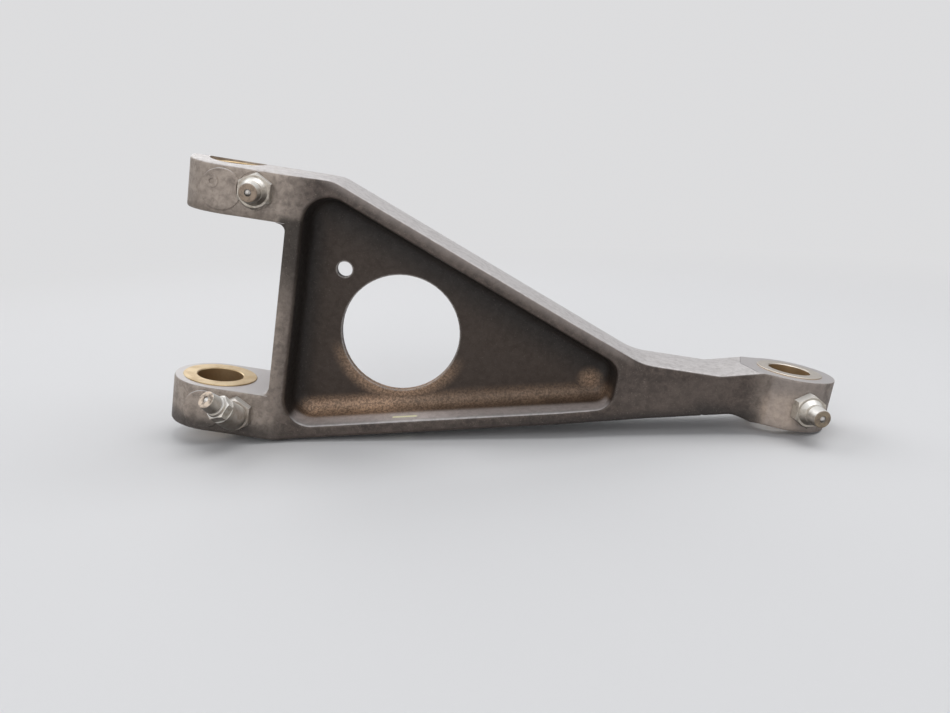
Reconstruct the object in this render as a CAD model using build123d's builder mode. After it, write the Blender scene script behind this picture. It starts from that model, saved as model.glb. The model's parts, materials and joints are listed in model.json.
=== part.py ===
from build123d import *
from math import atan2, cos, radians, sin, sqrt, tan
import os

# Torque link of a light aircraft's landing gear: a cast link with bronze bushes and grease fittings.
#
# Millimetres. The origin is on the base bore axis, midway between the two base lugs. +Y points
# away from the side that carries the grease fittings. The link stands as it rests on a flat
# floor: on the foot of its lower base lug and on the underside of its apex lug, so the bores lean
# by rest_tilt from +Z. Every plan below is drawn in the link's own axes: x along the link from
# the base bore to the apex bore, z along the bores.

os.makedirs("parts", exist_ok=True)

# Axes and bores
axis_spacing = 199.2  # base bore axis to apex bore axis
base_bore_d = 15.875
apex_bore_d = 14.2875
fork_gap = 59.0  # between the machined inner faces of the base lugs

# Base lugs
base_lug_r = 15.6
base_lug_height = 15.9
machined_margin = 0.4
machined_corner_r = 5.0
machined_overhang = 0.2  # of the milled cut past the sides of a lug
machined_depth = 0.4  # the inner lug faces are milled this much below the casting's leg

# Apex lug, which sits below the middle of the fork
apex_lug_r = 15.4
apex_lug_height = 17.8
apex_lug_middle_z = -5.1

# Web and rims
leg_face_x = 20.4  # face of the leg that closes the fork
leg_width = 5.0
rim_width = 4.2
rim_half_depth = 13.8
arm_half_depth = 12.0
flare_angle = 10.2  # of the sides between the lugs' width and the rims'
taper_length = 30.5  # over which the rims close in to the arm, up to arm_start_x
web_thickness = 3.0
pocket_end_depth = 24.5  # of the outline where the pocket ends
pocket_draft = 9.0
pocket_corner_r = 9.0
pocket_end_corner_r = 7.0
pocket_floor_r = 4.5
casting_draft = 4.0  # of the outer surfaces from the parting line down to both faces
rim_edge_r = 1.2
rim_inner_edge_r = 0.9

# Outline of the frame
upper_rim_start_x = 34.0  # where the upper rim leaves the top of the upper lug
upper_rim_slope = 22.0  # degrees
arm_top_z = 0.5
lower_rim_slope = 12.2  # degrees
arm_start_x = 150.0
foot_x = 24.4  # where the lower rim meets the underside of the lower lug
upper_corner_r = 12.0
arm_blend_r = 24.0
foot_corner_r = 8.0
fork_corner_r = 2.5
apex_top_ramp = 27.0  # before the apex bore axis, where the arm's top starts to climb to the lug
apex_lower_ramp = 20.0  # where its underside starts to fall
apex_ramp_end = 12.0
apex_facing_stock = 0.3  # cast on both faces of the lug and milled off
apex_blend_r = 10.0
waist_blend_r = 40.0

# Lightening holes in the web
large_hole_d = 41.3
large_hole_x = 61.6
large_hole_z = -4.0
small_hole_d = 5.4
small_hole_x = 39.5
small_hole_z = 15.4

# Bushes
bush_wall = 1.6
bush_flange_thickness = 1.6
bush_proud = 0.4  # the flange stands out of its counterbore
base_flange_d = 25.4
apex_flange_d = 22.2
bush_recess = 0.3  # the plain end stops short of the lug's face
apex_grease_gap = 3.2  # between the ends of the two apex bushes
bush_edge = 0.3

# Grease fittings
fitting_x = 10.2  # from the base bore axis towards the leg
upper_fitting_rise = 9.0  # from the lug's milled face
lower_fitting_drop = 7.5
apex_fitting_angle = 11.5  # degrees round the apex bore, from square to the web towards the lug's end
apex_fitting_drop = 0.6  # below the middle of the lug
hex_af = 10.3
hex_height = 3.4
hex_chamfer = 30.0
shank_d = 7.9
shank_gap = 0.5  # between the end of a fitting's hole and the bush
nipple_height = 10.4  # tip above the seat
nipple_root_d = 9.0  # where the nipple rises from the hexagon
nipple_shoulder_d = 6.8  # at the foot of the groove
nipple_groove_d = 5.6
nipple_groove_length = 0.5
nipple_head_d = 6.7
nipple_head_length = 4.4
nipple_tip_d = 5.4
nipple_edge = 0.3
spotface_d = 12.4
spotface_depth = 0.3
grease_hole_d = 3.0
ball_d = 2.78
ball_seat_d = 2.3
ball_seat_depth = 0.6
ball_gap = 0.02
spring_gap = 0.02  # at each end of the spring
spring_chamber_d = 3.1
spring_wire_d = 0.4
spring_d = 2.7
spring_length = 6.0
spring_turns = 6
passage_d = 1.8

# Angled adapter under the lower fitting
adapter_angle = 48.0  # of the nipple from the adapter's own axis
adapter_turn = 39.0  # of the nipple from +z towards -x
adapter_elbow = 5.0  # from the seat to where the two axes cross
adapter_arm = 5.2  # from there to the small fitting's seat
adapter_arm_d = 9.0
small_hex_af = 7.94
small_hex_height = 2.8
small_shank_d = 5.6
small_shank_length = 4.0
small_nipple_height = 8.8
small_spring_length = 4.6
small_spring_turns = 5

# Round casting pads on the front of the base lugs
pad_d = 13.5
pad_height = 0.5
pad_edge_r = 0.4
pad_x = -1.0
pad_ring_x = -2.9
pad_ring_z = 2.2
pad_ring_d = 4.0
pad_ring_bore_d = 1.8
pad_ring_height = 0.35

overshoot = 1.0  # how far blanks and cutters reach past the finished form
fine = 0.01  # for telling one edge or corner from another

# Places that follow from the dimensions
base_top = fork_gap / 2 + base_lug_height
cast_gap = fork_gap - 2 * machined_depth
apex_top = apex_lug_middle_z + apex_lug_height / 2
apex_bottom = apex_lug_middle_z - apex_lug_height / 2
apex_end = axis_spacing + apex_lug_r
top_ramp_x = axis_spacing - apex_top_ramp
lower_ramp_x = axis_spacing - apex_lower_ramp
ramp_end_x = axis_spacing - apex_ramp_end
base_lug_middle_z = fork_gap / 2 + base_lug_height / 2
upper_fitting_z = fork_gap / 2 + upper_fitting_rise
lower_fitting_z = -fork_gap / 2 - lower_fitting_drop
apex_fitting_z = apex_lug_middle_z - apex_fitting_drop
upper_fall = tan(radians(upper_rim_slope))
lower_rise = tan(radians(lower_rim_slope))
arm_blend_x = upper_rim_start_x + (base_top - arm_top_z) / upper_fall
flare_end_x = leg_face_x + (base_lug_r - rim_half_depth) / tan(radians(flare_angle))
rims_reach = 2 * base_top + upper_rim_start_x * upper_fall + foot_x * lower_rise
pocket_end_x = (rims_reach - pocket_end_depth) / (upper_fall + lower_rise)
parting_rise = rim_half_depth * tan(radians(casting_draft))
rest_tilt = atan2(apex_bottom + base_top + parting_rise, apex_end - foot_x)

# The pocket's mouth, drawn level with the lugs' sides and so wider than at the rims by its draft
spread = (base_lug_r - rim_half_depth) * tan(radians(pocket_draft))
upper_inset = (rim_width - spread) / cos(radians(upper_rim_slope))
lower_inset = (rim_width - spread) / cos(radians(lower_rim_slope))
pocket_left = leg_face_x + leg_width - spread
pocket_right = pocket_end_x + spread

# The link's own planes: side looks at the fittings' face, plan looks down the bores
along = (cos(rest_tilt), 0, -sin(rest_tilt))
side = Plane(origin=(0, 0, 0), x_dir=along, z_dir=(0, -1, 0))
plan = Plane(origin=(0, 0, 0), x_dir=along, z_dir=(sin(rest_tilt), 0, cos(rest_tilt)))


def place(x, z, depth=0.0):
    """The point x along the link, z along the bores and depth towards the fittings' side."""
    return side.from_local_coords(Vector(x, z, depth))


def crosswise(x, z, depth=0.0):
    """A plane parallel to the web at that point, facing the fittings' side."""
    return Plane(origin=place(x, z, depth), x_dir=side.x_dir, z_dir=side.z_dir)


def along_bore(x, z, down=False):
    """A plane square to the bores at that point, facing up or down them."""
    normal = plan.z_dir * -1 if down else plan.z_dir
    return Plane(origin=place(x, z), x_dir=plan.x_dir, z_dir=normal)


def lower_rim_z(x):
    """Height of the lower rim's underside at x."""
    return -base_top + (x - foot_x) * lower_rise


def upper_rim_z(x):
    """Height of the upper rim's top at x."""
    return base_top - (x - upper_rim_start_x) * upper_fall


def link_x(shape):
    """How far along the link a shape's centre is."""
    return side.to_local_coords(shape.center()).X


def is_face_edge(edge):
    """Whether an edge runs round the casting's front, rather than across it or down its side."""
    tangent = edge.tangent_at(0.5)
    crosses = abs(tangent.Y) > 0.9
    is_seam = abs(tangent.dot(plan.z_dir)) > 0.98 and link_x(edge) > leg_face_x + fine
    on_parting = abs(edge.center().Y) < fine
    return not (crosses or is_seam or on_parting)


def is_rim_inner_edge(edge):
    """Whether an edge runs round a pocket's mouth."""
    return abs(edge.center().Y) > arm_half_depth - 1 and abs(edge.tangent_at(0.5).Y) < 0.9


def corners(sketch, x, z):
    """The corner of a side sketch at x, z."""
    return sketch.vertices().filter_by(lambda v: (v.center() - Vector(x, z)).length < fine)


def shank_length(offset, depth, bore_d):
    """How long a shank may be that stands off the bore axis and stops short of the bush."""
    reach = bore_d / 2 + bush_wall + shank_gap
    nearest = max(offset - shank_d / 2, 0)
    return depth - sqrt(reach**2 - nearest**2)


fitting_depth = base_lug_r - spotface_depth
apex_fitting_depth = apex_lug_r - spotface_depth
swing = radians(apex_fitting_angle)
apex_out = side.z_dir * cos(swing) + side.x_dir * sin(swing)
apex_fitting_spot = place(axis_spacing, apex_fitting_z) + apex_out * apex_fitting_depth
fitting_seats = {
    "upper": crosswise(fitting_x, upper_fitting_z, fitting_depth),
    "lower": crosswise(fitting_x, lower_fitting_z, fitting_depth),
    "apex": Plane(origin=apex_fitting_spot, x_dir=side.y_dir.cross(apex_out), z_dir=apex_out),
}
base_shank_length = shank_length(fitting_x, fitting_depth, base_bore_d)
apex_shank_length = shank_length(0, apex_fitting_depth, apex_bore_d)
shank_lengths = {"upper": base_shank_length, "lower": base_shank_length, "apex": apex_shank_length}


def grease_hole(seat, shank, bore_middle):
    """The passage from the bottom of a fitting's tapped hole to the bore axis, as a cutter."""
    start = seat.origin - seat.z_dir * (shank - grease_hole_d / 2)
    course = bore_middle - start
    with BuildPart() as cutter:
        with BuildSketch(Plane(origin=start, z_dir=course.normalized())):
            Circle(grease_hole_d / 2)
        extrude(amount=course.length)
    return cutter.part


grease_holes = {
    "upper": grease_hole(fitting_seats["upper"], base_shank_length, place(0, upper_fitting_z)),
    "lower": grease_hole(fitting_seats["lower"], base_shank_length, place(0, lower_fitting_z)),
    "apex": grease_hole(fitting_seats["apex"], apex_shank_length, place(axis_spacing, apex_lug_middle_z)),
}

# The casting
with BuildPart() as link_casting:
    # Side outline along the parting line: lugs, rims and arm, drafted down to the front
    with BuildSketch(side) as outline:
        with BuildLine():
            Polyline(
                (-base_lug_r - overshoot, base_top),
                (upper_rim_start_x, base_top),
                (arm_blend_x, arm_top_z),
                (top_ramp_x, arm_top_z),
                (ramp_end_x, apex_top + apex_facing_stock),
                (apex_end + overshoot, apex_top + apex_facing_stock),
                (apex_end + overshoot, apex_bottom - apex_facing_stock),
                (ramp_end_x, apex_bottom - apex_facing_stock),
                (lower_ramp_x, lower_rim_z(lower_ramp_x)),
                (foot_x, -base_top),
                (-base_lug_r - overshoot, -base_top),
                close=True,
            )
        make_face()
        fillet(corners(outline, upper_rim_start_x, base_top), upper_corner_r)
        fillet(corners(outline, arm_blend_x, arm_top_z), arm_blend_r)
        fillet(outline.vertices().filter_by(lambda v: top_ramp_x - fine < v.X < apex_end), apex_blend_r)
        fillet(corners(outline, foot_x, -base_top), foot_corner_r)
        offset(amount=parting_rise, kind=Kind.INTERSECTION)
    extrude(amount=base_lug_r + overshoot, taper=casting_draft)

    # Plan outline: round lug ends, parallel rims and a slimmer arm
    with BuildSketch(plan) as planform:
        with BuildLine():
            Polyline(
                (0, -base_lug_r),
                (leg_face_x, -base_lug_r),
                (flare_end_x, -rim_half_depth),
                (arm_start_x - taper_length, -rim_half_depth),
                (arm_start_x, -arm_half_depth),
                (axis_spacing, -arm_half_depth),
                (axis_spacing, 0),
                (0, 0),
                close=True,
            )
        make_face()
        waist = planform.vertices().filter_by(lambda v: leg_face_x - 1 < v.X < axis_spacing - 1)
        fillet(waist.filter_by(lambda v: v.Y < -1), waist_blend_r)
        Circle(base_lug_r)
        with Locations(Location((axis_spacing, 0, 0), (0, 0, 180))):
            Circle(apex_lug_r)
        throat = planform.vertices().filter_by(lambda v: abs(v.Y + arm_half_depth) < fine)
        fillet(throat.sort_by(Axis.X)[-1], apex_blend_r)
    extrude(amount=base_top + parting_rise + overshoot, both=True, mode=Mode.INTERSECT)

    # The gap between the base lugs, closed by the leg
    gap_length = leg_face_x + base_lug_r + overshoot
    with BuildSketch(side) as gap:
        with Locations((leg_face_x - gap_length / 2, 0)):
            Rectangle(gap_length, cast_gap)
        fillet(gap.vertices().group_by(Axis.X)[-1], fork_corner_r)
    extrude(amount=base_lug_r + overshoot, mode=Mode.SUBTRACT)

    # Rounded edges of the lugs, the rims and the arm
    fillet([e for e in link_casting.edges() if is_face_edge(e)], rim_edge_r)

    # Pocket, which leaves half the web behind it
    with BuildSketch(side.offset(base_lug_r)) as mouth:
        with BuildLine():
            Polyline(
                (pocket_left, lower_rim_z(pocket_left) + lower_inset),
                (pocket_right, lower_rim_z(pocket_right) + lower_inset),
                (pocket_right, upper_rim_z(pocket_right) - upper_inset),
                (pocket_left, upper_rim_z(pocket_left) - upper_inset),
                close=True,
            )
        make_face()
        fillet(mouth.vertices().group_by(Axis.X)[0], pocket_corner_r + spread)
        fillet(mouth.vertices().group_by(Axis.X)[-1], pocket_end_corner_r + spread)
    extrude(amount=web_thickness / 2 - base_lug_r, taper=pocket_draft, mode=Mode.SUBTRACT)
    cut = link_casting.edges(Select.LAST)
    fillet([e for e in cut if abs(e.center().Y + web_thickness / 2) < fine], pocket_floor_r)
    fillet([e for e in cut if is_rim_inner_edge(e)], rim_inner_edge_r)

    # The back mirrors the front about the parting plane
    mirror(about=side)

    # Faces of the apex lug, milled flat
    for height, down in ((apex_top, False), (apex_bottom, True)):
        with BuildSketch(along_bore(axis_spacing, height, down)):
            Rectangle(4 * apex_lug_r, 4 * apex_lug_r)
        extrude(amount=parting_rise + overshoot, mode=Mode.SUBTRACT)

    # Lightening holes
    with BuildSketch(crosswise(large_hole_x, large_hole_z)):
        Circle(large_hole_d / 2)
    extrude(amount=web_thickness, both=True, mode=Mode.SUBTRACT)
    with BuildSketch(crosswise(small_hole_x, small_hole_z)):
        Circle(small_hole_d / 2)
    extrude(amount=web_thickness, both=True, mode=Mode.SUBTRACT)

    # Inner lug faces, milled up to the leg with a round-cornered cut
    milled_length = leg_face_x - machined_margin + base_lug_r + overshoot
    for down in (False, True):
        height = -fork_gap / 2 if down else fork_gap / 2
        with BuildSketch(along_bore(leg_face_x - machined_margin - milled_length / 2, height, down)):
            RectangleRounded(milled_length, 2 * (base_lug_r + machined_overhang), machined_corner_r)
        extrude(amount=-machined_depth - fork_corner_r, mode=Mode.SUBTRACT)

    # Flat round pads on the front of the base lugs, the upper one with a small raised ring
    for pad_z in (base_lug_middle_z, -base_lug_middle_z):
        with BuildSketch(crosswise(pad_x, pad_z, base_lug_r + pad_height)):
            Circle(pad_d / 2)
        extrude(amount=-pad_d / 2)
        fillet(link_casting.faces().sort_by(Axis.Y)[0].edges(), pad_edge_r)
    with BuildSketch(crosswise(pad_x + pad_ring_x, base_lug_middle_z + pad_ring_z, base_lug_r + pad_height)):
        Circle(pad_ring_d / 2)
        Circle(pad_ring_bore_d / 2, mode=Mode.SUBTRACT)
    extrude(amount=pad_ring_height)

    # Bores and counterbores for the bushes
    for height, down in ((fork_gap / 2, False), (-fork_gap / 2, True)):
        with BuildSketch(along_bore(0, height, down)):
            Circle(base_bore_d / 2 + bush_wall)
        extrude(amount=base_lug_height + parting_rise + overshoot, mode=Mode.SUBTRACT)
        with BuildSketch(along_bore(0, height, down)):
            Circle(base_flange_d / 2)
        extrude(amount=bush_flange_thickness - bush_proud, mode=Mode.SUBTRACT)
    with BuildSketch(along_bore(axis_spacing, apex_bottom)):
        Circle(apex_bore_d / 2 + bush_wall)
    extrude(amount=apex_lug_height, mode=Mode.SUBTRACT)
    for height, down in ((apex_bottom, False), (apex_top, True)):
        with BuildSketch(along_bore(axis_spacing, height, down)):
            Circle(apex_flange_d / 2)
        extrude(amount=bush_flange_thickness - bush_proud, mode=Mode.SUBTRACT)

    # Spotface, tapped hole and grease hole for each fitting
    for name, seat in fitting_seats.items():
        with BuildSketch(seat):
            Circle(spotface_d / 2)
        extrude(amount=spotface_d, mode=Mode.SUBTRACT)
        with BuildSketch(seat):
            Circle(shank_d / 2)
        extrude(amount=-shank_lengths[name], mode=Mode.SUBTRACT)
        add(grease_holes[name], mode=Mode.SUBTRACT)
link_casting.part.label = "link_casting"
export_step(link_casting.part, "parts/link_casting.step")


def write_bush(name, face, bore_d, flange_d, length, hole=None):
    """Write a bush that goes into its lug from the plane of the lug's face, flange standing proud."""
    with BuildPart() as bush:
        with BuildSketch(face.offset(bush_proud)):
            Circle(flange_d / 2)
        extrude(amount=-bush_flange_thickness)
        with BuildSketch(face):
            Circle(bore_d / 2 + bush_wall)
        extrude(amount=-length)
        with BuildSketch(face.offset(bush_proud)):
            Circle(bore_d / 2)
        extrude(amount=-length - bush_proud, mode=Mode.SUBTRACT)
        circles = bush.edges().filter_by(GeomType.CIRCLE)
        chamfer(circles.filter_by(lambda e: abs(e.radius - bore_d / 2) < fine), bush_edge)
        rims = circles.filter_by(lambda e: abs(e.radius - flange_d / 2) < fine)
        chamfer(rims.sort_by(lambda e: face.to_local_coords(e.center()).Z)[-1], bush_proud / 2)
        if hole:
            add(hole, mode=Mode.SUBTRACT)
    bush.part.label = name
    export_step(bush.part, f"parts/{name}.step")


# Bushes of the base lugs, flanges in the gap
base_bush_length = base_lug_height - bush_recess
upper_fork_face = along_bore(0, fork_gap / 2, down=True)
lower_fork_face = along_bore(0, -fork_gap / 2)
for name, face in (("upper", upper_fork_face), ("lower", lower_fork_face)):
    write_bush(f"{name}_fork_bush", face, base_bore_d, base_flange_d, base_bush_length, grease_holes[name])

# Bushes of the apex lug, which leave a grease gap between them
apex_bush_length = (apex_lug_height - apex_grease_gap) / 2
upper_apex_face = along_bore(axis_spacing, apex_top)
lower_apex_face = along_bore(axis_spacing, apex_bottom, down=True)
for name, face in (("upper", upper_apex_face), ("lower", lower_apex_face)):
    write_bush(f"{name}_apex_bush", face, apex_bore_d, apex_flange_d, apex_bush_length)


def radial_plane(seat):
    """The plane through a seat's axis in which its turned profiles are drawn, z up from the seat."""
    return Plane(origin=seat.origin, x_dir=seat.x_dir, z_dir=-seat.y_dir)


def hexagon(seat, across_flats, height):
    """A hexagon on its seat, with its outer corners turned down."""
    corner_r = across_flats / sqrt(3)
    flat_r = across_flats / 2
    shoulder = height - (corner_r - flat_r) * tan(radians(hex_chamfer))
    with BuildPart() as nut:
        with BuildSketch(seat):
            RegularPolygon(corner_r, 6, rotation=30)
        extrude(amount=height)
        with BuildSketch(radial_plane(seat)):
            with BuildLine():
                Polyline(
                    (0, 0),
                    (corner_r, 0),
                    (corner_r, shoulder),
                    (flat_r, height),
                    (0, height),
                    close=True,
                )
            make_face()
        revolve(axis=Axis(seat.origin, seat.z_dir), mode=Mode.INTERSECT)
    return nut.part


def fitting_body(seat, across_flats, hexagon_height, height, shank, shank_end, chamber_depth):
    """A straight grease fitting: shank, hexagon, neck and nipple, hollow for its ball and spring."""
    axis = Axis(seat.origin, seat.z_dir)
    nut = hexagon(seat, across_flats, hexagon_height)
    head = height - nipple_head_length
    shoulder = head - nipple_groove_length
    root_r = min(nipple_root_d / 2, across_flats / 2 - nipple_edge)
    chamber_top = height - ball_seat_depth
    chamber_bottom = height - chamber_depth
    with BuildPart() as body:
        add(nut)
        with BuildSketch(radial_plane(seat)):
            with BuildLine():
                Polyline(
                    (0, -shank_end),
                    (shank / 2, -shank_end),
                    (shank / 2, 0),
                    (root_r, hexagon_height),
                    (nipple_shoulder_d / 2, shoulder - nipple_edge),
                    (nipple_groove_d / 2, shoulder),
                    (nipple_groove_d / 2, head),
                    (nipple_head_d / 2, head + nipple_edge),
                    (nipple_tip_d / 2 + nipple_edge, height - nipple_edge),
                    (nipple_tip_d / 2, height),
                    (0, height),
                    close=True,
                )
            make_face()
        revolve(axis=axis)
        with BuildSketch(radial_plane(seat)):
            with BuildLine():
                Polyline(
                    (0, height),
                    (ball_seat_d / 2, height),
                    (ball_seat_d / 2, chamber_top),
                    (spring_chamber_d / 2, chamber_top),
                    (spring_chamber_d / 2, chamber_bottom),
                    (passage_d / 2, chamber_bottom),
                    (passage_d / 2, -shank_end),
                    (0, -shank_end),
                    close=True,
                )
            make_face()
        revolve(axis=axis, mode=Mode.SUBTRACT)
    return body.part


def check_ball(seat, height):
    """The ball, just clear of the sharp inner edge of its seat."""
    drop = sqrt((ball_d / 2) ** 2 - (ball_seat_d / 2) ** 2) + ball_gap
    with BuildPart(seat.offset(height - ball_seat_depth - drop)) as ball:
        Sphere(ball_d / 2)
    return ball.part


def check_spring(seat, height, length, turns, chamber_depth):
    """The coil spring between the bottom of its chamber and the ball."""
    start = seat.offset(height - chamber_depth + spring_wire_d / 2 + spring_gap).origin
    mean_r = (spring_d - spring_wire_d) / 2
    with BuildPart() as spring:
        with BuildLine():
            coil = Helix(length / turns, length, mean_r, center=start, direction=seat.z_dir)
        with BuildSketch(Plane(origin=coil @ 0, z_dir=coil % 0)):
            Circle(spring_wire_d / 2)
        sweep(path=coil)
    return spring.part


def write_fitting(name, seat, across_flats, hexagon_height, height, shank, shank_end, length, turns):
    """Write the body, ball and spring of one fitting."""
    ball_reach = sqrt((ball_d / 2 + spring_wire_d / 2) ** 2 - ((spring_d - spring_wire_d) / 2) ** 2)
    ball_drop = sqrt((ball_d / 2) ** 2 - (ball_seat_d / 2) ** 2) + ball_gap
    chamber_depth = ball_seat_depth + ball_drop + ball_reach + length + spring_wire_d / 2 + 2 * spring_gap
    body = fitting_body(seat, across_flats, hexagon_height, height, shank, shank_end, chamber_depth)
    ball = check_ball(seat, height)
    spring = check_spring(seat, height, length, turns, chamber_depth)
    for piece, kind in ((body, "body"), (ball, "ball"), (spring, "spring")):
        piece.label = f"{name}_fitting_{kind}"
        export_step(piece, f"parts/{name}_fitting_{kind}.step")


# Straight fittings of the upper base lug and the apex lug
for name in ("upper", "apex"):
    write_fitting(
        name,
        fitting_seats[name],
        hex_af,
        hex_height,
        nipple_height,
        shank_d,
        shank_lengths[name],
        spring_length,
        spring_turns,
    )

# Angled adapter of the lower base lug, with a small straight fitting in it
lower_seat = fitting_seats["lower"]
turn = radians(adapter_turn)
sideways = lower_seat.x_dir * -sin(turn) + lower_seat.y_dir * cos(turn)
lean = radians(adapter_angle)
arm_direction = lower_seat.z_dir * cos(lean) + sideways * sin(lean)
elbow = lower_seat.origin + lower_seat.z_dir * adapter_elbow
arm_seat = Plane(origin=elbow + arm_direction * adapter_arm, z_dir=arm_direction)
adapter_hexagon = hexagon(lower_seat, hex_af, hex_height)
with BuildPart() as lower_fitting_adapter:
    add(adapter_hexagon)
    with BuildSketch(lower_seat):
        Circle(shank_d / 2)
    extrude(amount=-base_shank_length)
    with BuildSketch(lower_seat):
        Circle(adapter_arm_d / 2)
    extrude(amount=adapter_elbow)
    with Locations(Plane(origin=elbow)):
        Sphere(adapter_arm_d / 2)
    with BuildSketch(arm_seat):
        Circle(adapter_arm_d / 2)
    extrude(amount=-adapter_arm)
    with BuildSketch(arm_seat):
        Circle(small_shank_d / 2)
    extrude(amount=-small_shank_length, mode=Mode.SUBTRACT)
    with BuildSketch(arm_seat):
        Circle(passage_d / 2)
    extrude(amount=-adapter_arm, mode=Mode.SUBTRACT)
    with BuildSketch(lower_seat.offset(adapter_elbow)):
        Circle(passage_d / 2)
    extrude(amount=-adapter_elbow - base_shank_length, mode=Mode.SUBTRACT)
lower_fitting_adapter.part.label = "lower_fitting_adapter"
export_step(lower_fitting_adapter.part, "parts/lower_fitting_adapter.step")
write_fitting(
    "lower",
    arm_seat,
    small_hex_af,
    small_hex_height,
    small_nipple_height,
    small_shank_d,
    small_shank_length,
    small_spring_length,
    small_spring_turns,
)
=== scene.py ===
"""Looks of the torque link: a dark, worn casting with bronze bushes and plated grease fittings."""

import json
from math import cos, pi, radians, sin, tan

import bpy
from mathutils import Matrix, Vector


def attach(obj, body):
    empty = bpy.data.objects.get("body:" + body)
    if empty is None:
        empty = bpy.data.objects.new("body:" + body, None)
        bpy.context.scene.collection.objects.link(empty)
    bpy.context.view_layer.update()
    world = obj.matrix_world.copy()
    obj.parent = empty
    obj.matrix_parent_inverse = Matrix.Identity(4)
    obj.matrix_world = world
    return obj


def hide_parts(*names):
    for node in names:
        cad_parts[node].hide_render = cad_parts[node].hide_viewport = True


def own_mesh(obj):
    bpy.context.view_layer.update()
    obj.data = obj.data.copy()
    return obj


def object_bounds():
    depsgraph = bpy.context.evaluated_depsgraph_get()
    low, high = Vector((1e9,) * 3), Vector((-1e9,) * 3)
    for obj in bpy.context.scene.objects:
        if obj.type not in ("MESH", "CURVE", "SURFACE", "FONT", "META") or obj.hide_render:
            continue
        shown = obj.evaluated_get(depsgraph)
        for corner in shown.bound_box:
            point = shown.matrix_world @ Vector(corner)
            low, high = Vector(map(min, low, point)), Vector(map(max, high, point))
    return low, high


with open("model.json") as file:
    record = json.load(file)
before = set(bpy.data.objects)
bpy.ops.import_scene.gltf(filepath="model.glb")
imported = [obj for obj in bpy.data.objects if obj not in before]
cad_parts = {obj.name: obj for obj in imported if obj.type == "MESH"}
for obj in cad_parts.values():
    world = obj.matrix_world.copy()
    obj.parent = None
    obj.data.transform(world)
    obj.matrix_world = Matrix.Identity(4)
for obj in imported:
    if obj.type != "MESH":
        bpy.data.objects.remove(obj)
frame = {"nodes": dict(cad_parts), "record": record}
cad_low, cad_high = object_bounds()

MM = 0.001

# Sizes of the link that the materials follow, in millimetres
# x runs from the base bores to the apex, y to the far side and z along the bores
TILT = radians(9.657)  # of the bores from upright
LUG_FACE = 29.5  # inner faces of the base lugs, above and below the middle of the gap
LUG_END = 45.4  # their outer faces
LEG_FACE = 20.4  # face of the leg in the gap
FOOT_START = 24.4  # where the underside begins to rise from the lower lug
FOOT_SLOPE = tan(radians(12.2))
RIM_START = 34.0  # where the upper rim begins to fall from the upper lug
RIM_SLOPE = tan(radians(22.0))
APEX_TOP = 3.8
APEX_BOTTOM = -14.0
HOLE = (61.6, -4.0)
HOLE_RADIUS = 20.65

# Colours of the casting, in the order in which they are laid
SKIN = (0.054, 0.040, 0.033)
SKIN_MOTTLE = (0.098, 0.073, 0.060)
SKIN_CLOUD = (0.120, 0.093, 0.078)
HANDLED = (0.44, 0.370, 0.315)
RUBBED_APEX = (0.66, 0.52, 0.41)
# Darker along the bottom of the upper lug: partly a stain, partly painted shade
LUG_UNDERSIDE_STAIN_AND_SHADE = (0.11, 0.085, 0.066)
# Painted shade on the leg in the gap between the base lugs
LEG_PAINTED_SHADE = (0.026, 0.019, 0.014)
# Painted highlight along the rounded top of the upper rim's front
RIM_PAINTED_HIGHLIGHT = (0.34, 0.295, 0.27)
# Painted shade along the bottom of the lower rim, and under the lower lug and the arm by the apex lug
FOOT_PAINTED_SHADE = (0.020, 0.015, 0.013)
LUG_FOOT_PAINTED_SHADE = (0.026, 0.020, 0.017)
# Partly patina and partly painted shade, all over the pockets
POCKET_PATINA_AND_SHADE = (0.036, 0.022, 0.014)
# Painted shade, nearly black, under the upper rim and by the leg
POCKET_PAINTED_SHADE = (0.007, 0.005, 0.004)
DUST = (0.56, 0.365, 0.235)
# Partly wear and partly a painted highlight on surfaces that face up
WORN_TOP_AND_HIGHLIGHT = (0.63, 0.605, 0.60)
# Painted light on the lower wall of a pocket
WALL_PAINTED_LIGHT = (0.64, 0.57, 0.55)
MILLED_STEEL = (0.54, 0.51, 0.505)
BRIGHT_EDGE = (0.64, 0.60, 0.57)
SPECK = (0.38, 0.32, 0.27)
YELLOW_PAINT = (0.82, 0.80, 0.55)

# Spots and stretches that those colours keep to, in millimetres, each stretch from its start to its end
APEX_PATCH = (195.0, -8.0)
POCKET_END = (130.0, -10.5)
LEG_BACK = 26.0
LEG_REACH = 30.0
ARM_FOOT = (170.0, 184.0)
POCKET_LENGTH = (26.0, 138.5)
DUST_BAND = (7.0, 8.5)  # over the foot
STREAK_LENGTH = (63.6, 71.2)
STREAK_WIDTH = (-10.4, -9.5)

# Fades along x, in millimetres, each from where a colour begins to where it is full
BASE_LUGS = (30.0, 16.0)
APEX_LUG = (180.0, 190.0)
APEX_FACE = (181.0, 182.0)
LUG_UNDERSIDE_START = (26.0, 14.0)
UPPER_BAND_START = (24.0, 36.0)
FOOT_BAND_START = (50.0, 140.0)
FOOT_BAND_END = (176.0, 164.0)
LUG_FOOT_LENGTH = (40.0, 14.0)
POCKET_NEAR_LEG = (35.0, 27.0)
DUST_START = (27.0, 36.0)
DUST_THINNING = (48.0, 84.0)
EDGE_LUGS = (18.0, 22.0)

# Fades along z, up or down
LUG_UNDERSIDE_TOP = (33.5, 30.0)
LUG_UNDERSIDE_BOTTOM = (26.0, 29.0)
LEG_DARKENING = (-4.0, 20.0)
LUG_FOOT_HEIGHT = (-37.5, -43.0)
ARM_FOOT_HEIGHT = (-7.0, -12.0)
DUST_RING_DROP = (HOLE[1] - 4.0, HOLE[1] - 15.0)
STREAK_HEIGHT = (-20.0, -24.0)

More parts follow.
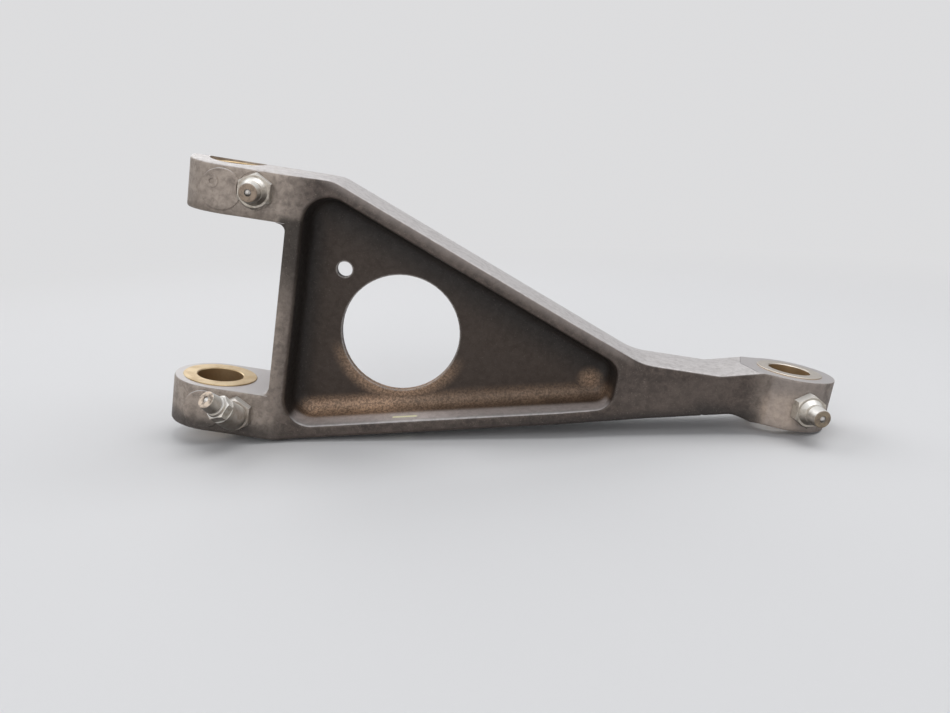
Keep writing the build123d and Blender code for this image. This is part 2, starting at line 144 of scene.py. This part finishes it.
# Fades away from the outline: under the top of the rim, over the foot, or both
UPPER_BAND = (3.6, 0.6)
POCKET_SHADE = (22.0, 8.0)
FOOT_BAND = (4.0, 0.4)
RIM_INSET = (1.5, 3.0)

# Fades across the link: along y, then outwards or inwards on both sides of the web
FRONT_HALF = (0.0, -6.0)
RIM_FRONT = (12.2, 13.0)
WALL_DEPTH = (5.5, 8.5)
POCKET_MOUTH = (13.2, 11.5)
DUST_DEPTH = (12.0, 8.0)

# Fades towards the middle of a round spot
APEX_PATCH_REACH = (9.5, 2.5)
DUST_RING = (HOLE_RADIUS + 5.5, HOLE_RADIUS + 0.5)
DUST_CORNER = (6.0, 1.0)

# How far a surface has to face up to be worn, and on tops to carry the painted highlight, from -1 for
# down to 1 for up
TOP_FACING = (0.50, 0.80)
EDGE_FACING = (-0.25, 0.10)

# Colours of the bronze
BRONZE = (0.70, 0.54, 0.32)
BRONZE_TARNISH = (0.56, 0.41, 0.23)
BORE_BROWN = (0.24, 0.135, 0.065)
FLANGE_GREY = (0.60, 0.575, 0.55)
APEX_FLANGE_GREYNESS = 0.8

# Colours of the plated pieces, what lies on them, and their painted shade and highlight
ADAPTER = (0.50, 0.44, 0.38)
FITTING = (0.58, 0.53, 0.46)
BALL = (0.70, 0.68, 0.66)
SPRING = (0.5, 0.5, 0.5)
NIPPLE_ENDS = {"upper": (0.30, 0.225, 0.165), "lower": (0.78, 0.64, 0.51), "apex": (0.27, 0.21, 0.14)}
RUST_STAIN = (0.27, 0.215, 0.165)
# Painted shade on the undersides of the plated pieces, then a painted highlight on their tops
PLATING_PAINTED_SHADE = (0.060, 0.048, 0.037)
PLATING_PAINTED_HIGHLIGHT = (0.90, 0.89, 0.86)
RUBBED_PLATING = (0.70, 0.67, 0.62)
END_STAIN = (0.16, 0.12, 0.09)
NIPPLE_END_DEPTH = (-0.35 * MM, -0.15 * MM)  # from the nipple's mount, outwards

# Noise: the size of its features in millimetres, its detail, its roughness and its distortion
CLOUDS = (16.0, 4.0, 0.6, 0.0)
BLOTCHES = (5.0, 4.0, 0.65, 0.6)
MOTTLE = (2.2, 5.0, 0.68, 0.3)
GRAIN = (0.5, 3.0, 0.7, 0.0)
SWELLS = (5.0, 2.0, 0.55, 0.0)
CRUMBS = (0.8, 4.0, 0.75, 0.0)
CHIPS = (1.4, 4.0, 0.7, 0.0)
TARNISH = (4.0, 4.0, 0.55, 0.0)
TURNING = (0.35, 2.0, 0.55, 0.0)
STAINS = (1.6, 4.0, 0.65, 0.0)
SCRATCHES = (0.4, 2.0, 0.55, 0.0)

# Depth of the relief that noise gives a surface, in millimetres
GRAIN_DEPTH = 0.12
MOTTLE_DEPTH = 0.22
SWELL_DEPTH = 0.45
TURNING_DEPTH = 0.02
SCRATCH_DEPTH = 0.03

# Gloss: how rough and how metallic a surface is, in pairs where its noise takes it from one to the other
CAST_ROUGHNESS = (0.70, 0.54)
MILLED_ROUGHNESS = 0.42
COAT_WEIGHT = 0.18
COAT_ROUGHNESS = 0.35
CAST_METAL = 0.30
BARE_METAL = 0.45
BRONZE_ROUGHNESS = (0.34, 0.46)
BRONZE_METAL = 0.6
PLATED_ROUGHNESS = (0.36, 0.55)
NIPPLE_END_ROUGHNESS = 0.6
PLATED_METAL = 0.45
FLOOR_ROUGHNESS = 0.9

# Width over which the surface counts as an edge, in millimetres, and the rays that measure it
CAST_EDGE = 1.2
PLATED_EDGE = 0.35
EDGE_SAMPLES = 6

# Camera, at the photograph's viewing angle, with its sensor in millimetres
PHOTO_WIDTH = 950
FOCAL_PIXELS = 870.06
SENSOR_WIDTH = 36.0
CAMERA_PLACE = Vector((89.98, -298.76, 51.41)) * MM
CAMERA_YAW = radians(-0.783)
CAMERA_PITCH = radians(14.037)
CAMERA_ROLL = radians(0.880)
CAMERA_NEAR = 0.01  # in metres

# Floor, in metres: flat, then bent upwards behind the part
FLOOR_COLOR = (0.72, 0.72, 0.73)
FLOOR_NEAR = -1.6
FLOOR_FAR = 0.9
FLOOR_BEND = 0.35
FLOOR_RISE = 1.6
FLOOR_SIDE = 3.0
BEND_STEPS = 16
EVEN_TONE = (0.22, 0.55)  # from the part's middle, where the floor loses its shadows

# Lamps, in metres and watts: place, side of the square and power
PART_MIDDLE = (0.1, 0.0, 0.0)
LAMPS = {
    "overhead": ((0.40, 0.05, 0.85), 0.9, 4.8),
    "back": ((-0.45, 0.65, 0.60), 0.8, 4.0),
    "fill": ((-0.25, -0.9, 0.45), 0.8, 3.4),
}
SKY_COLOR = (0.9, 0.92, 0.95)
SKY_STRENGTH = 0.35

# Sockets of a mix node for colours and for numbers: its two inputs and its result
MIX_SOCKETS = {"RGBA": (6, 7, 2), "FLOAT": (2, 3, 0)}


class Shader:
    """A procedural material that is painted in layers, with short names for the nodes it is made of."""

    def __init__(self, name, color):
        self.material = bpy.data.materials.new(name)
        self.material.use_nodes = True
        self.tree = self.material.node_tree
        self.surface = self.tree.nodes["Principled BSDF"]
        self.coordinates = self.tree.nodes.new("ShaderNodeTexCoord")
        self.geometry = self.tree.nodes.new("ShaderNodeNewGeometry")
        self.color = color

    def put(self, socket, value):
        """Set a socket to a number or a colour, or link it to a node's output."""
        if isinstance(value, bpy.types.NodeSocket):
            self.tree.links.new(value, socket)
        elif socket.type == "RGBA":
            socket.default_value = (*value[:3], 1.0)
        else:
            socket.default_value = value

    def node(self, kind, *values, **settings):
        """A new node with these settings, and these values in its first sockets."""
        made = self.tree.nodes.new(kind)
        for name, value in settings.items():
            setattr(made, name, value)
        for socket, value in zip(made.inputs, values):
            self.put(socket, value)
        return made

    def math(self, operation, *values):
        return self.node("ShaderNodeMath", *values, operation=operation).outputs[0]

    def link_axes(self):
        """Coordinates along the link, across it and along its bores, in millimetres."""
        made = self.node("ShaderNodeMapping", self.coordinates.outputs["Object"])
        made.inputs["Rotation"].default_value = (0, -TILT, 0)
        made.inputs["Scale"].default_value = (1 / MM, 1 / MM, 1 / MM)
        return made.outputs[0]

    def facing_up(self):
        """1 where the surface faces up, 0 where it is upright and -1 where it faces down."""
        return self.split(self.coordinates.outputs["Normal"])[2]

    def split(self, vector):
        """The three numbers of a vector."""
        return self.node("ShaderNodeSeparateXYZ", vector).outputs

    def noise(self, where, size, detail, roughness, distortion):
        """Noise from 0 to 1, mostly near the middle, whose features are about size millimetres across."""
        made = self.tree.nodes.new("ShaderNodeTexNoise")
        self.put(made.inputs["Vector"], where)
        self.put(made.inputs["Scale"], 1.0 / size)
        self.put(made.inputs["Detail"], detail)
        self.put(made.inputs["Roughness"], roughness)
        self.put(made.inputs["Distortion"], distortion)
        return made.outputs["Fac"]

    def step(self, value, low, high):
        """0 up to low, 1 from high on and smooth between them; low may be the larger."""
        made = self.node("ShaderNodeMapRange", value, low, high, interpolation_type="SMOOTHSTEP")
        return made.outputs[0]

    def band(self, value, start, end, soft):
        """1 from start to end, falling off over soft on both sides."""
        return self.all(self.step(value, start - soft, start), self.step(value, end + soft, end))

    def near(self, value, place, reach, soft):
        """1 within reach of a place, falling off over soft."""
        return self.band(value, place - reach, place + reach, soft)

    def all(self, *masks):
        """The product of masks."""
        product = masks[0]
        for mask in masks[1:]:
            product = self.math("MULTIPLY", product, mask)
        return product

    def any(self, *masks):
        """The largest of masks."""
        largest = masks[0]
        for mask in masks[1:]:
            largest = self.math("MAXIMUM", largest, mask)
        return largest

    def invert(self, mask):
        return self.math("SUBTRACT", 1.0, mask)

    def mix(self, factor, a, b, kind="RGBA"):
        """Colour a where factor is 0 and colour b where it is 1."""
        first, second, result = MIX_SOCKETS[kind]
        made = self.tree.nodes.new("ShaderNodeMix")
        made.data_type = kind
        self.put(made.inputs[0], factor)
        self.put(made.inputs[first], a)
        self.put(made.inputs[second], b)
        return made.outputs[result]

    def blend(self, factor, a, b):
        """Number a where factor is 0 and number b where it is 1."""
        return self.mix(factor, a, b, "FLOAT")

    def lay(self, color, mask, strength=1.0):
        """Lay a colour over what is there, where mask is 1, as strongly as strength says from 0 to 1."""
        self.color = self.mix(self.math("MULTIPLY", mask, strength), self.color, color)

    def distance(self, across, along, centre):
        """Distance from a point, measured in a plane."""
        offsets = [self.math("SUBTRACT", *pair) for pair in zip((across, along), centre)]
        squares = [self.math("POWER", offset, 2.0) for offset in offsets]
        return self.math("SQRT", self.math("ADD", *squares))

    def edge(self, radius):
        """How far the surface turns within radius millimetres: 0 on a flat, more at an edge."""
        made = self.tree.nodes.new("ShaderNodeBevel")
        made.samples = EDGE_SAMPLES
        made.inputs["Radius"].default_value = radius * MM
        normals = made.outputs[0], self.geometry.outputs["Normal"]
        cosine = self.node("ShaderNodeVectorMath", *normals, operation="DOT_PRODUCT")
        return self.invert(cosine.outputs["Value"])

    def bump(self, height, depth, normal=None):
        """A normal bent by a height from 0 to 1 that is depth millimetres deep."""
        made = self.tree.nodes.new("ShaderNodeBump")
        made.inputs["Strength"].default_value = 1.0
        made.inputs["Distance"].default_value = depth * MM
        self.put(made.inputs["Height"], height)
        if normal is not None:
            self.put(made.inputs["Normal"], normal)
        return made.outputs[0]

    def finish(self, roughness, metallic, normal=None):
        """The material, with the colour that was painted."""
        self.put(self.surface.inputs["Base Color"], self.color)
        self.put(self.surface.inputs["Roughness"], roughness)
        self.put(self.surface.inputs["Metallic"], metallic)
        if normal is not None:
            self.put(self.surface.inputs["Normal"], normal)
        return self.material


def wear(node, material):
    """Give a CAD node its material."""
    target = frame["nodes"][node]
    for slot in target.material_slots:
        slot.material = material


class CastSteel(Shader):
    """Dark cast steel: brown, pale where hands reach, dusty in the pockets and bright on its edges."""

    def __init__(self):
        super().__init__("cast_steel", SKIN)
        self.where = self.link_axes()
        self.x, self.y, self.z = self.split(self.where)
        self.depth = self.math("ABSOLUTE", self.y)
        self.height = self.math("ABSOLUTE", self.z)
        self.up = self.facing_up()
        self.cloud = self.noise(self.where, *CLOUDS)
        self.blotch = self.noise(self.where, *BLOTCHES)
        self.mottle = self.noise(self.where, *MOTTLE)
        self.grain = self.noise(self.where, *GRAIN)
        # Heights over the foot and under the top of the upper rim, which both slope
        over_slope = self.math("MULTIPLY_ADD", self.x, -FOOT_SLOPE, self.z)
        self.over_foot = self.math("ADD", over_slope, FOOT_START * FOOT_SLOPE + LUG_END)
        along_slope = self.math("MULTIPLY_ADD", self.x, RIM_SLOPE, self.z)
        self.under_top = self.math("SUBTRACT", LUG_END + RIM_START * RIM_SLOPE, along_slope)
        self.in_pocket = self.pocket_mask()
        self.milled = self.milled_mask()
        self.worn_top_and_highlight = self.top_wear_and_highlight_mask()
        self.worn_edge = self.edge_mask()

    def pocket_mask(self):
        """1 inside the two pockets, 0 on the rims round them."""
        below_top = self.step(self.z, *(LUG_END - inset for inset in RIM_INSET))
        below_rim = self.all(self.step(self.under_top, *RIM_INSET), below_top)
        above_rim = self.step(self.over_foot, *RIM_INSET)
        length = self.band(self.x, *POCKET_LENGTH, soft=2.0)
        return self.all(self.step(self.depth, *POCKET_MOUTH), below_rim, above_rim, length)

    def milled_mask(self):
        """1 on the machined faces: the inner ones of the base lugs and both of the apex lug."""
        before_leg = self.step(self.x, LEG_FACE, LEG_FACE - 0.2)
        base_faces = self.all(self.near(self.height, LUG_FACE, reach=0.06, soft=0.04), before_leg)
        apex_faces = [self.near(self.z, face, reach=0.05, soft=0.04) for face in (APEX_TOP, APEX_BOTTOM)]
        return self.any(base_faces, self.all(self.any(*apex_faces), self.step(self.x, *APEX_FACE)))

    def top_wear_and_highlight_mask(self):
        """1 where the surface faces up, a little less in streaks: where tops are worn and carry a painted
        highlight.
        """
        streaks = self.all(self.step(self.blotch, 0.22, 0.50), self.step(self.mottle, 0.25, 0.60))
        return self.all(self.step(self.up, *TOP_FACING), self.blend(streaks, 0.72, 1.0))

    def edge_mask(self):
        """1 on the chipped edges of rims and lugs, but not round the small pads on the lugs' fronts."""
        inner_edge = self.step(self.height, LUG_FACE + 0.9, LUG_FACE + 0.5)
        outer_edge = self.step(self.height, LUG_END - 0.8, LUG_END - 0.4)
        outline = self.any(self.step(self.x, *EDGE_LUGS), inner_edge, outer_edge)
        edge = self.all(self.step(self.edge(CAST_EDGE), 0.02, 0.16), outline)
        chipped = self.step(self.noise(self.where, *CHIPS), 0.26, 0.56)
        return self.all(edge, chipped, self.step(self.up, *EDGE_FACING))

    def skin(self):
        """The cast skin, mottled and cloudy."""
        self.lay(SKIN_MOTTLE, self.step(self.mottle, 0.36, 0.66))
        self.lay(SKIN_CLOUD, self.step(self.cloud, 0.40, 0.68), 0.5)

    def lugs(self):
        """The lugs are handled more, so they are paler and greyer, and the upper one is darker along its
        bottom, partly a stain and partly painted shade.
        """
        worn = self.all(self.step(self.blotch, 0.26, 0.60), self.step(self.mottle, 0.25, 0.60))
        uneven = self.blend(worn, 0.50, 1.0)
        near_apex = self.math("MULTIPLY", self.step(self.x, *APEX_LUG), 0.45)
        near_lugs = self.any(self.step(self.x, *BASE_LUGS), near_apex)
        self.lay(HANDLED, self.all(near_lugs, uneven), 0.9)
        patch = self.step(self.distance(self.x, self.z, APEX_PATCH), *APEX_PATCH_REACH)
        self.lay(RUBBED_APEX, self.all(patch, self.step(self.y, *FRONT_HALF), uneven), 0.9)
        # Darker band along the bottom of the upper lug: partly a stain, partly painted shade
        underside_height = self.all(self.step(self.z, *LUG_UNDERSIDE_TOP), self.step(self.z, *LUG_UNDERSIDE_BOTTOM))
        underside_shape = self.all(underside_height, self.step(self.x, *LUG_UNDERSIDE_START))
        self.lay(LUG_UNDERSIDE_STAIN_AND_SHADE, self.all(underside_shape, self.step(self.cloud, 0.25, 0.5)), 0.6)

    def leg(self):
        """The leg in the gap gets painted shade, darker towards its top under the upper lug."""
        across_leg = self.band(self.x, LEG_FACE - 1.0, LEG_BACK, soft=2.0)
        along_leg = self.near(self.z, 0.0, LEG_REACH, soft=3.0)
        # Painted shade, darker towards the top of the gap
        self.lay(LEG_PAINTED_SHADE, self.all(across_leg, along_leg, self.step(self.z, *LEG_DARKENING)), 0.9)

    def rims(self):
        """The upper rim has a painted highlight along its top, and the lower rim, the arm and the lug
        have painted shade below.
        """
        # Painted highlight in a band just under the top of the upper rim
        upper_band = self.step(self.under_top, *UPPER_BAND)
        upper_band = self.all(upper_band, self.step(self.x, *UPPER_BAND_START))
        self.lay(RIM_PAINTED_HIGHLIGHT, self.all(upper_band, self.step(self.depth, *RIM_FRONT)), 0.45)
        # Painted shade along the bottom of the lower rim, then under the lower lug and the arm's end
        foot_length = self.all(self.step(self.x, *FOOT_BAND_START), self.step(self.x, *FOOT_BAND_END))
        self.lay(FOOT_PAINTED_SHADE, self.all(self.step(self.over_foot, *FOOT_BAND), foot_length), 0.85)
        lug_foot = self.all(self.step(self.z, *LUG_FOOT_HEIGHT), self.step(self.x, *LUG_FOOT_LENGTH))
        arm_foot = self.all(self.step(self.z, *ARM_FOOT_HEIGHT), self.band(self.x, *ARM_FOOT, soft=7.0))
        self.lay(LUG_FOOT_PAINTED_SHADE, self.any(lug_foot, arm_foot), 0.85)

    def pockets(self):
        """The pockets keep a darker skin, partly patina and partly painted shade, with painted shade
        nearly black along the upper rim and the leg.
        """
        # Darker skin in the pockets, partly patina and partly painted shade, then painted shade under the
        # rim and by the leg
        self.lay(POCKET_PATINA_AND_SHADE, self.in_pocket, 0.85)
        shade = self.any(self.step(self.under_top, *POCKET_SHADE), self.step(self.x, *POCKET_NEAR_LEG))
        self.lay(POCKET_PAINTED_SHADE, self.all(self.in_pocket, shade), 0.85)

    def dust(self):
        """Orange-brown dust along the bottom of the pocket, under the large hole and at the far end."""
        bottom = self.band(self.over_foot, *DUST_BAND, soft=4.5)
        thinning = self.blend(self.step(self.x, *DUST_THINNING), 1.0, 0.42)
        inside = self.all(self.step(self.depth, *DUST_DEPTH), self.step(self.x, *DUST_START))
        bottom = self.all(bottom, inside, thinning)
        ring = self.step(self.distance(self.x, self.z, HOLE), *DUST_RING)
        ring = self.math("MULTIPLY", self.all(ring, self.step(self.z, *DUST_RING_DROP)), 0.75)
        corner = self.step(self.distance(self.x, self.z, POCKET_END), *DUST_CORNER)
        corner = self.math("MULTIPLY", corner, 0.7)
        crumbs = self.blend(self.step(self.noise(self.where, *CRUMBS), 0.38, 0.62), 0.32, 1.0)
        patches = self.blend(self.step(self.cloud, 0.34, 0.58), 0.65, 1.0)
        self.lay(DUST, self.all(self.any(bottom, ring, corner), self.in_pocket, crumbs, patches))

    def tops(self):
        """Surfaces that face up are worn pale and carry a painted highlight, and the lower wall of a
        pocket gets painted light in grey.
        """
        # Pale tops: partly wear, partly a painted highlight
        self.lay(WORN_TOP_AND_HIGHLIGHT, self.all(self.worn_top_and_highlight, self.invert(self.in_pocket)), 0.92)
        # Painted light on the up-facing lower wall inside each pocket
        wall = self.all(self.worn_top_and_highlight, self.in_pocket, self.step(self.depth, *WALL_DEPTH))
        self.lay(WALL_PAINTED_LIGHT, wall, 0.80)

    def specks(self):
        """Fine specks of bare metal, fewer in the pockets and none on the milled faces."""
        specks = self.all(self.step(self.grain, 0.58, 0.76), self.invert(self.milled))
        self.lay(SPECK, self.all(specks, self.blend(self.in_pocket, 0.45, 0.22)))

    def streak(self):
        """A streak of yellow-green paint on the lower wall of the front pocket."""
        length = self.band(self.x, *STREAK_LENGTH, soft=0.7)
        width = self.band(self.y, *STREAK_WIDTH, soft=0.3)
        streak = self.all(length, width, self.step(self.z, *STREAK_HEIGHT))
        self.lay(YELLOW_PAINT, self.all(streak, self.step(self.mottle, 0.15, 0.35)))

    def relief(self):
        """The uneven surface of the cast skin, which the milled faces don't have."""
        cast = self.invert(self.milled)
        swells = self.noise(self.where, *SWELLS)
        normal = self.bump(self.all(self.grain, cast), GRAIN_DEPTH)
        normal = self.bump(self.all(self.mottle, cast), MOTTLE_DEPTH, normal)
        return self.bump(self.all(swells, cast), SWELL_DEPTH, normal)

    def gloss(self):
        """How rough and how metallic the steel is: smoother where milled, more metallic where bare."""
        skin = self.blend(self.step(self.mottle, 0.3, 0.7), *CAST_ROUGHNESS)
        bare = self.any(self.milled, self.worn_edge, self.worn_top_and_highlight)
        self.surface.inputs["Coat Weight"].default_value = COAT_WEIGHT
        self.surface.inputs["Coat Roughness"].default_value = COAT_ROUGHNESS
        return self.blend(self.milled, skin, MILLED_ROUGHNESS), self.blend(bare, CAST_METAL, BARE_METAL)


def cast_steel():
    """The casting's material: its layers from the skin outwards, then its gloss and relief."""
    s = CastSteel()
    s.skin()
    s.lugs()
    s.leg()
    s.rims()
    s.pockets()
    s.dust()
    s.tops()
    s.lay(MILLED_STEEL, s.milled)
    s.lay(BRIGHT_EDGE, s.worn_edge, 0.75)
    s.specks()
    s.streak()
    return s.finish(*s.gloss(), s.relief())


def bronze(name, flange_tint):
    """Turned bronze, browner inside the bore and, as strongly as flange_tint says, grey on the flange."""
    s = Shader(name, BRONZE)
    where = s.link_axes()
    z = s.split(where)[2]
    tarnish = s.step(s.noise(where, *TARNISH), 0.35, 0.7)
    s.lay(BRONZE_TARNISH, tarnish)
    bore = s.step(s.math("ABSOLUTE", s.facing_up()), 0.7, 0.3)
    s.lay(BORE_BROWN, bore, 0.6)
    on_flange = s.any(s.step(z, APEX_TOP - 0.1, APEX_TOP), s.step(z, APEX_BOTTOM + 0.1, APEX_BOTTOM))
    s.lay(FLANGE_GREY, s.all(on_flange, s.invert(bore)), flange_tint)
    relief = s.bump(s.noise(where, *TURNING), TURNING_DEPTH)
    return s.finish(s.blend(tarnish, *BRONZE_ROUGHNESS), BRONZE_METAL, relief)


def plated_steel(name, tint, nipple=None, end_tint=None):
    """Dull plated steel: stained, with painted shade below and a painted highlight on top, and rubbed at
    its edges.

    Where a nipple's mount is given, its end has a tint of its own.
    """
    s = Shader(name, tint)
    where = s.link_axes()
    up = s.facing_up()
    stain = s.step(s.noise(where, *STAINS), 0.40, 0.70)
    s.lay(RUST_STAIN, stain, 0.65)
    # Painted shade on faces that point down, and a painted highlight on faces that point up
    s.lay(PLATING_PAINTED_SHADE, s.step(up, 0.15, -0.55), 0.88)
    s.lay(PLATING_PAINTED_HIGHLIGHT, s.step(up, 0.15, 0.75), 0.8)
    s.lay(RUBBED_PLATING, s.step(s.edge(PLATED_EDGE), 0.05, 0.28), 0.45)
    roughness = s.blend(stain, *PLATED_ROUGHNESS)
    if nipple:
        place = s.coordinates.outputs["Object"]
        offset = s.node("ShaderNodeVectorMath", place, nipple["pos_m"], operation="SUBTRACT").outputs[0]
        outwards = s.node("ShaderNodeVectorMath", offset, nipple["axis"], operation="DOT_PRODUCT")
        end = s.step(outwards.outputs["Value"], *NIPPLE_END_DEPTH)
        s.lay(s.mix(stain, end_tint, END_STAIN), end, 0.9)
        roughness = s.blend(end, roughness, NIPPLE_END_ROUGHNESS)
    relief = s.bump(s.noise(where, *SCRATCHES), SCRATCH_DEPTH)
    return s.finish(roughness, PLATED_METAL, relief)


def camera():
    """The photograph's camera: where it stands, where it looks and how it is turned."""
    level = Vector((cos(CAMERA_YAW), -sin(CAMERA_YAW), 0))
    across = cos(CAMERA_PITCH)
    forward = Vector((sin(CAMERA_YAW) * across, cos(CAMERA_YAW) * across, -sin(CAMERA_PITCH)))
    right = cos(CAMERA_ROLL) * level + sin(CAMERA_ROLL) * forward.cross(level)
    down = forward.cross(right)
    turned = Matrix((right, -down, -forward)).transposed()
    data = bpy.data.cameras.new("camera")
    data.sensor_width = SENSOR_WIDTH
    data.lens = FOCAL_PIXELS / PHOTO_WIDTH * SENSOR_WIDTH
    data.clip_start = CAMERA_NEAR
    view = bpy.data.objects.new("camera", data)
    view.matrix_world = Matrix.Translation(CAMERA_PLACE) @ turned.to_4x4()
    bpy.context.scene.collection.objects.link(view)
    bpy.context.scene.camera = view


def floor_material():
    """Matt and pale, and of one even tone in the camera's view away from the part."""
    s = Shader("floor", FLOOR_COLOR)
    s.finish(FLOOR_ROUGHNESS, 0.0)
    seen = s.tree.nodes.new("ShaderNodeLightPath").outputs["Is Camera Ray"]
    x, y, _ = s.split(s.coordinates.outputs["Object"])
    far = s.step(s.distance(x, y, PART_MIDDLE[:2]), *EVEN_TONE)
    even = s.node("ShaderNodeEmission", FLOOR_COLOR, 1.0)
    mixed = s.node("ShaderNodeMixShader", s.all(seen, far), s.surface.outputs[0], even.outputs[0])
    s.put(s.tree.nodes["Material Output"].inputs["Surface"], mixed.outputs[0])
    return s.material


def backdrop():
    """The floor, which curves up behind the part."""
    section = [(FLOOR_NEAR, 0.0), (FLOOR_FAR, 0.0)]
    for i in range(1, BEND_STEPS + 1):
        turn = i / BEND_STEPS * pi / 2
        section.append((FLOOR_FAR + FLOOR_BEND * sin(turn), FLOOR_BEND * (1 - cos(turn))))
    section.append((FLOOR_FAR + FLOOR_BEND, FLOOR_RISE))
    verts = [(side * FLOOR_SIDE, y, cad_low[2] + z) for y, z in section for side in (-1, 1)]
    faces = [(2 * i, 2 * i + 1, 2 * i + 3, 2 * i + 2) for i in range(len(section) - 1)]
    mesh = bpy.data.meshes.new("floor")
    mesh.from_pydata(verts, [], faces)
    for polygon in mesh.polygons:
        polygon.use_smooth = True
    mesh.materials.append(floor_material())
    floor = bpy.data.objects.new("floor", mesh)
    bpy.context.scene.collection.objects.link(floor)


def area_light(name, place, size, power):
    """A soft square lamp that faces the part and isn't seen itself."""
    data = bpy.data.lights.new(name, "AREA")
    data.shape = "SQUARE"
    data.size = size
    data.energy = power
    lamp = bpy.data.objects.new(name, data)
    lamp.location = place
    lamp.visible_camera = False
    lamp.rotation_euler = (Vector(PART_MIDDLE) - Vector(place)).to_track_quat("-Z", "Y").to_euler()
    bpy.context.scene.collection.objects.link(lamp)


def sky():
    """A weak, even light from all round, which the camera and reflections see as pale as the floor."""
    world = bpy.data.worlds.new("world")
    bpy.context.scene.world = world
    world.use_nodes = True
    tree = world.node_tree
    light = tree.nodes["Background"]
    light.inputs["Color"].default_value = (*SKY_COLOR, 1)
    light.inputs["Strength"].default_value = SKY_STRENGTH
    seen = tree.nodes.new("ShaderNodeBackground")
    seen.inputs["Color"].default_value = (*FLOOR_COLOR, 1)
    rays = tree.nodes.new("ShaderNodeLightPath")
    direct = tree.nodes.new("ShaderNodeMath")
    direct.operation = "MAXIMUM"
    mixed = tree.nodes.new("ShaderNodeMixShader")
    tree.links.new(rays.outputs["Is Camera Ray"], direct.inputs[0])
    tree.links.new(rays.outputs["Is Glossy Ray"], direct.inputs[1])
    for i, source in enumerate((direct, light, seen)):
        tree.links.new(source.outputs[0], mixed.inputs[i])
    tree.links.new(mixed.outputs[0], tree.nodes["World Output"].inputs["Surface"])


def spring(place, nipple, material):
    """The coil spring of a fitting: a copy of its CAD node with its own material, attached to the link in
    the node's place.
    """
    node = f"{place}_fitting_spring"
    piece = bpy.data.objects.new(f"{place}_spring", frame["nodes"][node].data.copy())
    piece.data.materials.clear()
    piece.data.materials.append(material)
    bpy.context.scene.collection.objects.link(piece)
    out = Vector(nipple["axis"])
    heights = [out.dot(vertex.co) for vertex in piece.data.vertices]
    bottom, length = min(heights), max(heights) - min(heights)
    anchor = Vector(nipple["pos_m"])
    anchor += (bottom - out.dot(anchor)) * out
    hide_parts(node)
    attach(piece, "link")
    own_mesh(piece)


wear("link_casting", cast_steel())
fork_bronze = bronze("fork_bronze", 0.0)
apex_bronze = bronze("apex_bronze", APEX_FLANGE_GREYNESS)
for side in ("upper", "lower"):
    wear(f"{side}_fork_bush", fork_bronze)
    wear(f"{side}_apex_bush", apex_bronze)
nipples = {mount["name"]: mount for mount in frame["record"]["mounts"]}
wear("lower_fitting_adapter", plated_steel("adapter_steel", ADAPTER))
ball_steel = plated_steel("ball_steel", BALL)
spring_steel = plated_steel("spring_steel", SPRING)
for place, end_tint in NIPPLE_ENDS.items():
    nipple = nipples[f"{place}_nipple"]
    wear(f"{place}_fitting_body", plated_steel(f"{place}_steel", FITTING, nipple, end_tint))
    wear(f"{place}_fitting_ball", ball_steel)
    spring(place, nipple, spring_steel)

camera()
backdrop()
for name, (place, size, power) in LAMPS.items():
    area_light(name, place, size, power)
sky()
bpy.context.scene.view_settings.view_transform = "Standard"
